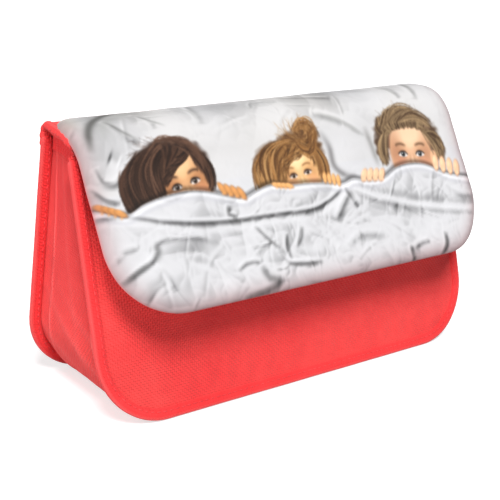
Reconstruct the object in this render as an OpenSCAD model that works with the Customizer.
// A soft fabric pouch with a zipped mouth and a padded, printed flap.
// +X runs along the width, the front faces -Y, +Z is up, and the base rests on Z = 0.

/* [Body] */
// Width over the bound side seams
body_w = 210; // [180:1:250]
// Height of the front panel's top edge
front_h = 105; // [90:1:126]
// Depth across the base
base_d = 64; // [54:1:77]
// Depth across the mouth
mouth_d = 20; // [17:0.5:24]
// How far the mouth sits behind the middle of the base
mouth_back = 12; // [10:0.5:14]
// How much higher the rear panel's top edge is than the front one
mouth_rise = 5; // [4:0.5:6]
// Radius of the rounded bottom corners
corner_r = 30; // [25:1:36]
// How far the filled front panel swells
front_crown = 11.6; // [9:0.1:12.5]
// How far the filled rear panel swells
rear_crown = 5; // [3:0.5:6]
// How far the side gussets swell
side_crown = 1.5; // [0:0.5:3]

/* [Fabric] */
// Thickness of the red outer cloth
outer_t = 0.9; // [0.7:0.05:1.1]
// Thickness of the foam interlining in the panels
foam_t = 1.2; // [0.8:0.1:1.5]
// Thickness of the inner lining cloth
lining_t = 0.5; // [0.4:0.05:0.7]
// Air left between two plies
ply_gap = 0.1; // [0.05:0.05:0.2]

/* [Seams] */
// Width of the binding tape over the side and bottom seams
binding_w = 5; // [4:0.5:6]
// Thickness of every binding and hem tape
tape_t = 0.6; // [0.4:0.05:0.8]
// Height of the tape over the front mouth edge
mouth_tape_h = 8; // [6:0.5:10]
// Height of the hem tape on the gusset tops
hem_h = 5; // [4:0.5:6]

/* [Flap] */
// How much narrower the flap is than the body, at each side
flap_inset = 1; // [0.5:0.5:4]
// Thickness of the printed cloth
print_t = 0.5; // [0.4:0.05:0.7]
// Thickness of the flap's foam
flap_foam_t = 1.2; // [0.8:0.1:1.5]
// Outer radius of the bend over the mouth
bend_r = 22; // [20:0.5:24]
// Length of the straight front part, from the bend to the lower edge
drop_len = 63; // [55:1:75]
// Radius of the flap's lower corners
flap_corner_r = 30; // [25:1:36]
// Slope of the flap just in front of its hinge, in degrees
hinge_slope = 6; // [4:0.5:8]
// How much of the mouth's depth the flap's bend covers
bend_span = 8; // [7:0.5:10]
// How far the foam stops short of the flap's edge
foam_margin = 4; // [3:0.5:6]

/* [Closure] */
// Length of the hook and loop strips
grip_len = 90; // [60:1:108]
// Height of the hook and loop strips
grip_h = 16; // [12:1:19]
// Thickness of each strip
grip_t = 1.2; // [0.9:0.1:1.5]
// Gap between the closed strips
grip_gap = 0.4; // [0.3:0.05:0.6]

/* [Zip] */
// Height of the zip above the base
zip_z = 84; // [78:1:86]
// Thickness of the woven zip tape
zip_tape_t = 0.6; // [0.5:0.05:0.8]
// Width of the closed coil chain
coil_w = 5; // [4:0.5:6]
// Height of the coil chain
coil_h = 1.6; // [1.3:0.1:1.9]
// Length of the slider
slider_l = 9; // [8:0.5:10.5]
// Thickness of the slider's plates
plate_t = 0.8; // [0.7:0.05:0.9]
// Length of the pull, from its pivot to its tip
pull_l = 16; // [13:0.5:17]
// Width of the pull
pull_w = 5.6; // [5:0.2:6.4]
// Radius of the pull's pivot bar
bar_r = 0.6; // [0.5:0.05:0.65]

/* [Hidden] */
$fn = 48;
red = [0.86, 0.13, 0.13];
dark_red = [0.72, 0.08, 0.1];

rear_h = front_h + mouth_rise;
front_top_y = mouth_back - mouth_d / 2;
rear_top_y = mouth_back + mouth_d / 2;
// How far each panel leans inwards, in degrees
front_lean = atan((base_d / 2 + front_top_y) / front_h);
rear_lean = atan((base_d / 2 - rear_top_y) / rear_h);
// The lowest leg of each binding touches the table
leg_n = outer_t + ply_gap + tape_t;
front_z0 = leg_n * sin(front_lean);
rear_z0 = leg_n * sin(rear_lean);
front_l = (front_h - front_z0) / cos(front_lean);
rear_l = (rear_h - rear_z0) / cos(rear_lean);
zip_v_front = (zip_z - front_z0) / cos(front_lean);
zip_v_rear = (zip_z - rear_z0) / cos(rear_lean);

panel_stack = outer_t + foam_t + lining_t + 2 * ply_gap;
gusset_stack = outer_t + lining_t + ply_gap;
lining_inset = gusset_stack + 3 * ply_gap;
seam_r = corner_r - binding_w;
line_r = seam_r - lining_inset;
cloth_r = corner_r - tape_t - ply_gap;
corner_x = body_w / 2 - corner_r;
least_step = 1.5;
// Room between the gusset and the inner leg of each binding
seam_room = 0.8;

// ---- Points on the two leaning panels: x across, v up the panel, n outwards ----
function front_point(x, v, n) = [
    x,
    -base_d / 2 + v * sin(front_lean) - n * cos(front_lean),
    front_z0 + v * cos(front_lean) + n * sin(front_lean)
];
function rear_point(x, v, n) = [
    x,
    base_d / 2 - v * sin(rear_lean) + n * cos(rear_lean),
    rear_z0 + v * cos(rear_lean) + n * sin(rear_lean)
];
function panel_point(is_front, x, v, n) = is_front ? front_point(x, v, n) : rear_point(x, v, n);

// Half width at height v of an outline with bottom corners of radius r
function half_w(v, r) = v >= corner_r ? corner_x + r
    : corner_x + sqrt(max(0, r * r - pow(corner_r - v, 2)));

// Columns: 3 is the cloth's edge in its binding and 2 the seam.
// From 1 down to 0 they run from the lining's edge to the middle.
inner_cols = [1, 0.93, 0.82, 0.64, 0.42, 0.2];
function mirrored(list) = concat([for (f = list) -f], [0], [for (i = [len(list) - 1 : -1 : 0]) list[i]]);
lining_cols = mirrored(inner_cols);
cloth_cols = mirrored(concat([3, 2], inner_cols));
function col_abs(f, v) = f == 3 ? half_w(v, cloth_r)
    : f == 2 ? min(half_w(v, seam_r), half_w(v, cloth_r) - least_step)
    : f * min(half_w(v, line_r), half_w(v, cloth_r) - 2 * least_step);
function col_x(f, v) = sign(f) * col_abs(abs(f), v);

// Rows up a panel, from the lining's bottom edge to its top
function lining_rows(top, zip_v) = concat(
    [for (a = [0 : 18 : 90]) corner_r - line_r * cos(a)],
    [for (i = [1 : 5]) corner_r + (zip_v - corner_r) * i / 5],
    [(zip_v + top) / 2, top]
);
function cloth_rows(top, zip_v) = concat([corner_r - cloth_r, binding_w], lining_rows(top, zip_v));

// The swell of a filled panel: nothing at its seams and at the zip, most a little below the zip
function swell(f, v, zip_v, crown) =
    let (low = corner_r - line_r, share = (v - low) / (zip_v - low))
    share <= 0 || share >= 1 || abs(f) >= 1 ? 0
    : crown * pow(1 - pow(f, 4), 0.8) * sin(180 * pow(share, 1.8));

function panel_grid(is_front, cols, rows, n) =
    let (zip_v = is_front ? zip_v_front : zip_v_rear, crown = is_front ? front_crown : rear_crown)
    [for (v = rows) [for (f = cols) panel_point(is_front, col_x(f, v), v, n + swell(f, v, zip_v, crown))]];

// A closed solid between two grids of points of the same size. turned swaps which side faces out.
module sheet(outer, inner, turned = false) {
    rows = len(outer);
    cols = len(outer[0]);
    below = rows * cols;
    pts = concat([for (row = outer) each row], [for (row = inner) each row]);
    top = [for (r = [0 : rows - 2]) for (c = [0 : cols - 2]) let (i = r * cols + c)
        each [[i, i + cols, i + cols + 1], [i, i + cols + 1, i + 1]]];
    bottom = [for (t = top) [t[0] + below, t[2] + below, t[1] + below]];
    rim = concat(
        [for (c = [0 : cols - 2]) [c, c + 1]],
        [for (r = [0 : rows - 2]) [r * cols + cols - 1, (r + 1) * cols + cols - 1]],
        [for (c = [cols - 1 : -1 : 1]) [(rows - 1) * cols + c, (rows - 1) * cols + c - 1]],
        [for (r = [rows - 1 : -1 : 1]) [r * cols, (r - 1) * cols]]
    );
    edge = [for (e = rim) each [[e[0], e[1], e[1] + below], [e[0], e[1] + below, e[0] + below]]];
    faces = concat(top, bottom, edge);
    polyhedron(pts, turned ? [for (t = faces) [t[0], t[2], t[1]]] : faces);
}

module panel_ply(is_front, whole, from_n, to_n) {
    top = is_front ? front_l : rear_l;
    zip_v = is_front ? zip_v_front : zip_v_rear;
    cols = whole ? cloth_cols : lining_cols;
    rows = whole ? cloth_rows(top, zip_v) : lining_rows(top, zip_v);
    sheet(panel_grid(is_front, cols, rows, from_n), panel_grid(is_front, cols, rows, to_n), !is_front);
}

module front_panel() { color(red) panel_ply(true, true, 0, -outer_t); }
module rear_panel() { color(red) panel_ply(false, true, 0, -outer_t); }
module interlining(front) {
    top = -outer_t - ply_gap;
    color("white") panel_ply(front, false, top, top - foam_t);
}
module front_interlining() { interlining(true); }
module rear_interlining() { interlining(false); }
module front_lining() { color(dark_red) panel_ply(true, false, lining_t - panel_stack, -panel_stack); }
module rear_lining() { color(dark_red) panel_ply(false, false, lining_t - panel_stack, -panel_stack); }

// ---- The gusset strip: down one side, across the base and up the other ----
// Each path point is [x, v, outward x, outward v], where v is a share of the way up past the corner
side_steps = 5;
function side_path(off, top) = [for (i = [0 : side_steps])
    [corner_x + seam_r - off, between(top, corner_r, i / side_steps), 1, 0]];
function corner_path(off) = [for (a = [15 : 15 : 75])
    [corner_x + (seam_r - off) * cos(a), corner_r - (seam_r - off) * sin(a), cos(a), -sin(a)]];
function base_path(off) = [for (i = [0 : 3]) [corner_x * (1 - i * 2 / 3), binding_w + off, 0, -1]];
function half_path(off, top) = concat(side_path(off, top), corner_path(off));
function whole_path(off, top) = concat(
    half_path(off, top),
    base_path(off),
    [for (i = [len(half_path(off, top)) - 1 : -1 : 0])
        let (p = half_path(off, top)[i])
        [-p[0], p[1], -p[2], p[3]]]
);
depth_steps = [0, 0.12, 0.32, 0.5, 0.68, 0.88, 1];
function flat_bump(k) = min(1, min(k, 1 - k) / depth_steps[1]);
function between(a, b, k) = a + (b - a) * k;
// The two ends of the gusset's top edge lie under the panels' top edges, and its middle is arched
gusset_drop = 2.2;
gusset_arch = 3.6;
gusset_top = front_l - gusset_drop;
seam_n = -outer_t - ply_gap;
// 0 at the corner and 1 at the top
function side_share(v) = max(0, v - corner_r) / (gusset_top - corner_r);
function rear_v(v) = v <= corner_r ? v : between(corner_r, rear_l - gusset_drop, side_share(v));
function seam_z(k) = between(front_point(0, binding_w, seam_n)[2], rear_point(0, binding_w, seam_n)[2], k);
function gusset_point(p, k, lift) =
    let (
        base = between(front_point(p[0], p[1], seam_n), rear_point(p[0], rear_v(p[1]), seam_n), k),
        outward = pow(p[2], 2) * sign(p[2]),
        out = side_crown * sin(180 * k) * outward * (1 - pow(side_share(p[1]), 2)),
        sag = seam_z(k) * flat_bump(k) * pow(p[3], 2)
    )
    base + [out, 0, lift * sin(180 * k) - sag];
function gusset_grid(off, top) =
    let (path = whole_path(off, top), last = len(path) - 1)
    [for (i = [0 : last])
        let (lift = i == 0 || i == last ? gusset_arch : 0)
        [for (k = depth_steps) gusset_point(path[i], k, lift)]];

module gusset_strip() {
    color(red) sheet(gusset_grid(0, gusset_top), gusset_grid(outer_t, gusset_top));
}
module gusset_lining() {
    off = outer_t + ply_gap;
    color(dark_red) sheet(gusset_grid(off, gusset_top), gusset_grid(off + lining_t, gusset_top));
}
// A hem tape on the outside of each gusset's top edge, seen as a darker band
hem_steps = [for (k = depth_steps) between(0.07, 0.93, k)];
function hem_grid(side, off) = [for (row = [[gusset_top, gusset_arch], [gusset_top - hem_h, 0]])
    [for (k = hem_steps) gusset_point([side * (corner_x + seam_r - off), row[0], side, 0], k, row[1])]];
module gusset_hems() {
    color(red) for (side = [-1, 1])
        sheet(hem_grid(side, -ply_gap - tape_t), hem_grid(side, -ply_gap), side < 0);
}

// ---- Bindings: a folded tape over the raw edges of a panel ----
module front_frame() {
    translate([0, -base_d / 2, front_z0]) rotate([90 - front_lean, 0, 0]) children();
}
module rear_frame() {
    translate([0, base_d / 2, rear_z0]) rotate([90 + rear_lean, 0, 0]) mirror([0, 0, 1]) children();
}

// A rectangle with two rounded bottom corners, its bottom edge at cut
module round_bottom(r, cut, top) {
    for (side = [-1, 1]) translate([side * corner_x, corner_r]) circle(r, $fn = 96);
    translate([-corner_x, cut]) square([2 * corner_x, top - cut]);
    translate([-corner_x - r, corner_r]) square([2 * (corner_x + r), top - corner_r]);
}
module ring(from_r, to_r, top) {
    difference() {
        round_bottom(to_r, corner_r - to_r, top);
        round_bottom(from_r, corner_r - from_r, top + 1);
    }
}
module binding(top) {
    slot = outer_t + 2 * ply_gap;
    translate([0, 0, ply_gap]) linear_extrude(tape_t) ring(seam_r, corner_r, top);
    translate([0, 0, -outer_t - ply_gap]) linear_extrude(slot) ring(corner_r - tape_t, corner_r, top);
    translate([0, 0, -leg_n]) linear_extrude(tape_t) ring(seam_r + seam_room, corner_r, top);
}
module front_binding() { color(red) front_frame() binding(front_l - 1); }
module rear_binding() { color(red) rear_frame() binding(rear_l - 1); }

// The tape folded over the front panel's top edge, all plies inside it
module mouth_tape() {
    half = corner_x + line_r;
    slot = panel_stack + 2 * ply_gap;
    limb = [2 * half, mouth_tape_h + ply_gap + tape_t, tape_t];
    color(red) front_frame() translate([-half, front_l - mouth_tape_h, 0]) {
        translate([0, 0, ply_gap]) cube(limb);
        translate([0, mouth_tape_h + ply_gap, ply_gap - slot]) cube([2 * half, tape_t, slot]);
        translate([0, 0, ply_gap - slot - tape_t]) cube(limb);
    }
}

// ---- The flap's section, in [y, z] ----
flap_t = print_t + flap_foam_t + lining_t + 2 * ply_gap;
flap_w = body_w - 2 * flap_inset;
hinge_y = rear_top_y + outer_t;
// The hinge line stands clear of the rear panel's top, so that the flap can turn right over
hinge_rise = 3.2;
hinge_z = rear_h + hinge_rise;
print_rise = 1;
// The flat part between the hinge and the bend grows with the mouth
hinge_run = mouth_d - bend_span;
start_y = rear_top_y;
start_z = hinge_z + print_rise;
bend_start_y = start_y - hinge_run * cos(hinge_slope);
bend_start_z = start_z - hinge_run * sin(hinge_slope);
bend_y = bend_start_y + bend_r * sin(hinge_slope);
bend_z = bend_start_z - bend_r * cos(hinge_slope);
bend_in_r = bend_r - flap_t;

// The bend stops where the flap's inner face would touch the closed grip on the swollen front
grip_v = zip_v_front * 0.82;
grip_stack = 2 * grip_t + ply_gap * 2 + grip_gap;
// How many degrees the grip may lie off the front panel's own slope
grip_turn = 4;
function bend_to(p) =
    let (a = bend_y - p[1], b = p[2] - bend_z, d = sqrt(a * a + b * b))
    atan2(a, b) - acos(bend_in_r / d);
bend_end = min([for (s = [-1 : 0.25 : 1]) let (v = grip_v + s * grip_h / 2)
    bend_to(front_point(0, v, swell(0, v, zip_v_front, front_crown) + grip_stack / cos(grip_turn)))]);
// The fold line where the flap's top and front parts meet
fold_at = (hinge_slope + bend_end) / 2;
fold_y = bend_y - bend_r * sin(fold_at);
fold_z = bend_z + bend_r * cos(fold_at);

function arc_point(r, angle) = [bend_y - r * sin(angle), bend_z + r * cos(angle)];
function along_drop(r, s) = arc_point(r, bend_end) + s * [-cos(bend_end), -sin(bend_end)];
function run_point(depth) = [start_y - depth * sin(hinge_slope), start_z - depth * cos(hinge_slope)];
bend_steps = 6;
function bend_arc(r, from, to) =
    [for (i = [0 : bend_steps]) arc_point(r, between(from, to, i / bend_steps))];
// Depths are measured inwards from the flap's outer face
module top_section(depth, thick, cut_gap) {
    last = fold_at - cut_gap;
    outer = bend_arc(bend_r - depth, hinge_slope, last);
    inner = bend_arc(bend_r - depth - thick, hinge_slope, last);
    polygon(concat(
        [run_point(depth)], outer,
        [for (i = [bend_steps : -1 : 0]) inner[i]], [run_point(depth + thick)]
    ));
}
module front_section(depth, thick, cut_gap, s_end) {
    first = fold_at + cut_gap;
    outer = bend_arc(bend_r - depth, first, bend_end);
    inner = bend_arc(bend_r - depth - thick, first, bend_end);
    polygon(concat(
        outer, [along_drop(bend_r - depth, s_end), along_drop(bend_r - depth - thick, s_end)],
        [for (i = [bend_steps : -1 : 0]) inner[i]]
    ));
}
module across(width) { translate([-width / 2, 0, 0]) rotate([90, 0, 90]) linear_extrude(width) children(); }

// The flap's lower outline, measured up from its lower edge
module drop_outline(inset, height) {
    r = flap_corner_r - inset;
    x = flap_w / 2 - flap_corner_r;
    for (side = [-1, 1]) translate([side * x, flap_corner_r]) circle(r, $fn = 96);
    translate([-x, inset]) square([2 * x, height]);
    translate([-x - r, flap_corner_r]) square([2 * (x + r), height - flap_corner_r]);
}
module drop_cut(inset) {
    tip = along_drop(bend_r, drop_len);
    reach = drop_len + 3 * bend_r;
    translate([0, tip[0], tip[1]]) rotate([bend_end, 0, 0]) translate([0, 0, -2 * bend_r])
        linear_extrude(4 * bend_r) drop_outline(inset, reach);
}
fold_gap = 0.4;
module flap_top_ply(depth, thick, inset) {
    across(flap_w - 2 * inset) top_section(depth, thick, fold_gap);
}
module flap_front_ply(depth, thick, inset) {
    intersection() {
        across(flap_w - 2 * inset) front_section(depth, thick, fold_gap, drop_len);
        drop_cut(inset);
    }
}
foam_depth = print_t + ply_gap;
lining_depth = foam_depth + flap_foam_t + ply_gap;
module flap_print_top() { color("white") flap_top_ply(0, print_t, 0); }
module flap_foam_top() { color("white") flap_top_ply(foam_depth, flap_foam_t, foam_margin); }
module flap_lining_top() { color(red) flap_top_ply(lining_depth, lining_t, 0); }
module flap_print_front() { color("white") flap_front_ply(0, print_t, 0); }
module flap_foam_front() { color("white") flap_front_ply(foam_depth, flap_foam_t, foam_margin); }
module flap_lining_front() { color(red) flap_front_ply(lining_depth, lining_t, 0); }

// The cloth that joins the rear panel to the flap
hinge_strip_h = 14;
// Room between the strip's top and the hinge line, for the flap's rear edge to turn in
hinge_room = 2.1;
module hinge_strip() {
    up = rear_l + (hinge_z - rear_h - hinge_room) / cos(rear_lean);
    half = flap_w / 2 - foam_margin;
    color(red) rear_frame() translate([-half, up - hinge_strip_h, ply_gap])
        cube([2 * half, hinge_strip_h, outer_t - 2 * ply_gap]);
}

// ---- Hook and loop closure ----
function grip_grid(n) = [for (i = [-2 : 2]) [for (c = [-4 : 4])
    let (x = c * grip_len / 8, v = grip_v + grip_h * i / 4)
    front_point(x, v, n + swell(x / col_x(1, v), v, zip_v_front, front_crown))]];
module front_loop_tape() {
    color(dark_red) sheet(grip_grid(ply_gap + grip_t), grip_grid(ply_gap), true);
}
// Where the middle of the loop strip faces the flap, measured down the flap's straight part
grip_mid = front_point(0, grip_v, swell(0, grip_v, zip_v_front, front_crown) + grip_stack);
grip_s = (arc_point(bend_in_r, bend_end) - [grip_mid[1], grip_mid[2]]) * [cos(bend_end), sin(bend_end)];
module flap_hook_tape() {
    place = along_drop(bend_in_r - ply_gap, grip_s);
    color(dark_red) translate([0, place[0], place[1]]) rotate([bend_end, 0, 0])
        translate([-grip_len / 2, -grip_h / 2, -grip_t]) cube([grip_len, grip_h, grip_t]);
}

// ---- Zip ----
zip_side_gap = 1.5;
zip_half_l = corner_x + line_r - zip_side_gap;
// Where the panels' inner faces meet the height of the zip tape's top
zip_room_z = zip_z + zip_tape_t - front_z0;
zip_front_y = -base_d / 2 + zip_room_z * tan(front_lean) + panel_stack / cos(front_lean) + 2 * ply_gap;
zip_rear_y = base_d / 2 - zip_room_z * tan(rear_lean) - panel_stack / cos(rear_lean) - 2 * ply_gap;
zip_mid_y = (zip_front_y + zip_rear_y) / 2;
coil_gap = 0.1;
// Tape left bare beyond the closed slider, and beyond the coil's other end
slider_margin = 14;
coil_margin = 9;
slider_x = zip_half_l - slider_margin;
coil_start_x = -zip_half_l + coil_margin;
post_w = 1.8;
post_l = 2.6;
post_set_back = 0.4;
post_room = 0.6;
coil_end_x = slider_x + slider_l / 2 - post_l - post_set_back - post_room;
stop_l = 2.4;
stop_w = 2;
stop_gap = 0.5;
// The slider stops a little before the coil's end
travel = slider_x - slider_l / 2 - coil_start_x - 2 * stop_gap;
slider_lip = 1.5;
slider_w = coil_w + 2 * slider_lip;
pivot_gap = 0.3;
pivot_x = slider_x;
pivot_z = zip_z + zip_tape_t + coil_h + ply_gap + plate_t + bar_r + pivot_gap;

// A tape half from its sewn edge to the coil, drawn back where the slider's post parts the two halves
module zip_tape_half(sewn_y, side) {
    inner_y = zip_mid_y + side * coil_gap;
    parted_y = zip_mid_y + side * (post_w / 2 + 2 * ply_gap);
    translate([0, 0, zip_z]) linear_extrude(zip_tape_t) polygon([
        [-zip_half_l, sewn_y], [-zip_half_l, inner_y], [slider_x - post_w, inner_y],
        [slider_x, parted_y], [zip_half_l, parted_y], [zip_half_l, sewn_y]
    ]);
}
module zip_tape_front() { color("crimson") zip_tape_half(zip_front_y, -1); }
module zip_tape_rear() { color("crimson") zip_tape_half(zip_rear_y, 1); }
module coil_half(low_y) {
    translate([coil_start_x, low_y, zip_z + zip_tape_t + ply_gap / 2])
        cube([coil_end_x - coil_start_x, coil_w / 2 - coil_gap, coil_h]);
}
module zip_coil_front() { color("firebrick") coil_half(zip_mid_y - coil_w / 2); }
module zip_coil_rear() { color("firebrick") coil_half(zip_mid_y + coil_gap); }

// One clamp across both coils at the open end, and one on each tape at the closed end
module zip_stops() {
    z = zip_z + zip_tape_t + ply_gap / 2;
    color("silver") {
        translate([coil_start_x - stop_l - ply_gap, zip_mid_y - coil_w / 2, z])
            cube([stop_l, coil_w, coil_h]);
        for (side = [-1, 1])
            translate([slider_x + slider_l / 2 + stop_gap, zip_mid_y + side * coil_w / 2 - stop_w / 2, z])
                cube([stop_l, stop_w, coil_h]);
    }
}
tab_l = 5;
module zip_end_tabs() {
    z = zip_z + zip_tape_t + ply_gap;
    color(red) for (side = [-1, 1])
        translate([side * (zip_half_l + 1 - tab_l / 2) - tab_l / 2, zip_front_y + 1, z])
            cube([tab_l, zip_rear_y - zip_front_y - 2, outer_t]);
}

// Outline of the slider's plates: a wide nose with two mouths, and a narrow tail
module slider_outline() {
    nose = [slider_l / 2, slider_w / 2];
    shoulder_x = slider_l * 0.12;
    tail_w = slider_w * 0.72;
    cut = [1, 1.4];
    half = [[shoulder_x, nose[1]], [nose[0] - cut[0], nose[1]], [nose[0], nose[1] - cut[1]]];
    polygon(concat(
        [[-nose[0], -tail_w / 2]], [for (p = half) [p[0], -p[1]]],
        [for (i = [2 : -1 : 0]) half[i]], [[-nose[0], tail_w / 2]]
    ));
}
module zip_slider() {
    low = zip_z - ply_gap - plate_t;
    high = zip_z + zip_tape_t + coil_h + ply_gap;
    arch_w = 2;
    arch_l = 6;
    arch_in_h = bar_r * 2 + 0.8;
    arch_wall = 1.4;
    arch_out_h = arch_in_h + 0.9;
    chamfer = [0.8, 0.7];
    foot = [arch_l / 2, 0];
    side = [arch_l / 2 - chamfer[0], arch_out_h - chamfer[1]];
    crown = [arch_l / 2 - 2 * chamfer[0], arch_out_h];
    color("silver") translate([slider_x, zip_mid_y, 0]) {
        translate([0, 0, low]) linear_extrude(plate_t) slider_outline();
        translate([0, 0, high]) linear_extrude(plate_t) slider_outline();
        // The post that parts the two coils
        translate([slider_l / 2 - post_l - post_set_back, 0, low]) linear_extrude(high - low + plate_t)
            polygon([[0, 0], [post_l / 2, -post_w / 2], [post_l, 0], [post_l / 2, post_w / 2]]);
        // The bridge that holds the pull
        translate([0, arch_w / 2, high + plate_t]) rotate([90, 0, 0]) linear_extrude(arch_w) difference() {
            polygon(concat([for (p = [foot, side, crown]) [-p[0], p[1]]], [crown, side, foot]));
            translate([arch_wall - arch_l / 2, -1]) square([arch_l - 2 * arch_wall, arch_in_h + 1]);
        }
    }
}
// The pull: a bar under the bridge, two arms beside it, and a rounded tab with a hole
module zip_pull() {
    arm_w = 1;
    eye_l = 5.4;
    thick = 2 * bar_r;
    hole_r = 1.3;
    color("silver") translate([pivot_x, zip_mid_y, pivot_z]) {
        rotate([90, 0, 0]) cylinder(r = bar_r, h = pull_w, center = true);
        for (side = [-1, 1]) translate([-eye_l, side * (pull_w / 2 - arm_w / 2) - arm_w / 2, -bar_r])
            cube([eye_l, arm_w, thick]);
        translate([0, 0, -bar_r]) linear_extrude(thick) difference() {
            union() {
                translate([-pull_l + pull_w / 2, -pull_w / 2])
                    square([pull_l - eye_l - pull_w / 2, pull_w]);
                translate([-pull_l + pull_w / 2, 0]) circle(pull_w / 2);
            }
            translate([-pull_l + pull_w / 2, 0]) circle(hole_r);
        }
    }
}

front_panel();
front_interlining();
front_lining();
rear_panel();
rear_interlining();
rear_lining();
gusset_strip();
gusset_lining();
front_binding();
rear_binding();
mouth_tape();
gusset_hems();
hinge_strip();
front_loop_tape();
zip_tape_front();
zip_tape_rear();
zip_coil_front();
zip_coil_rear();
zip_stops();
zip_end_tabs();
zip_slider();
zip_pull();
flap_print_top();
flap_foam_top();
flap_lining_top();
flap_print_front();
flap_foam_front();
flap_lining_front();
flap_hook_tape();
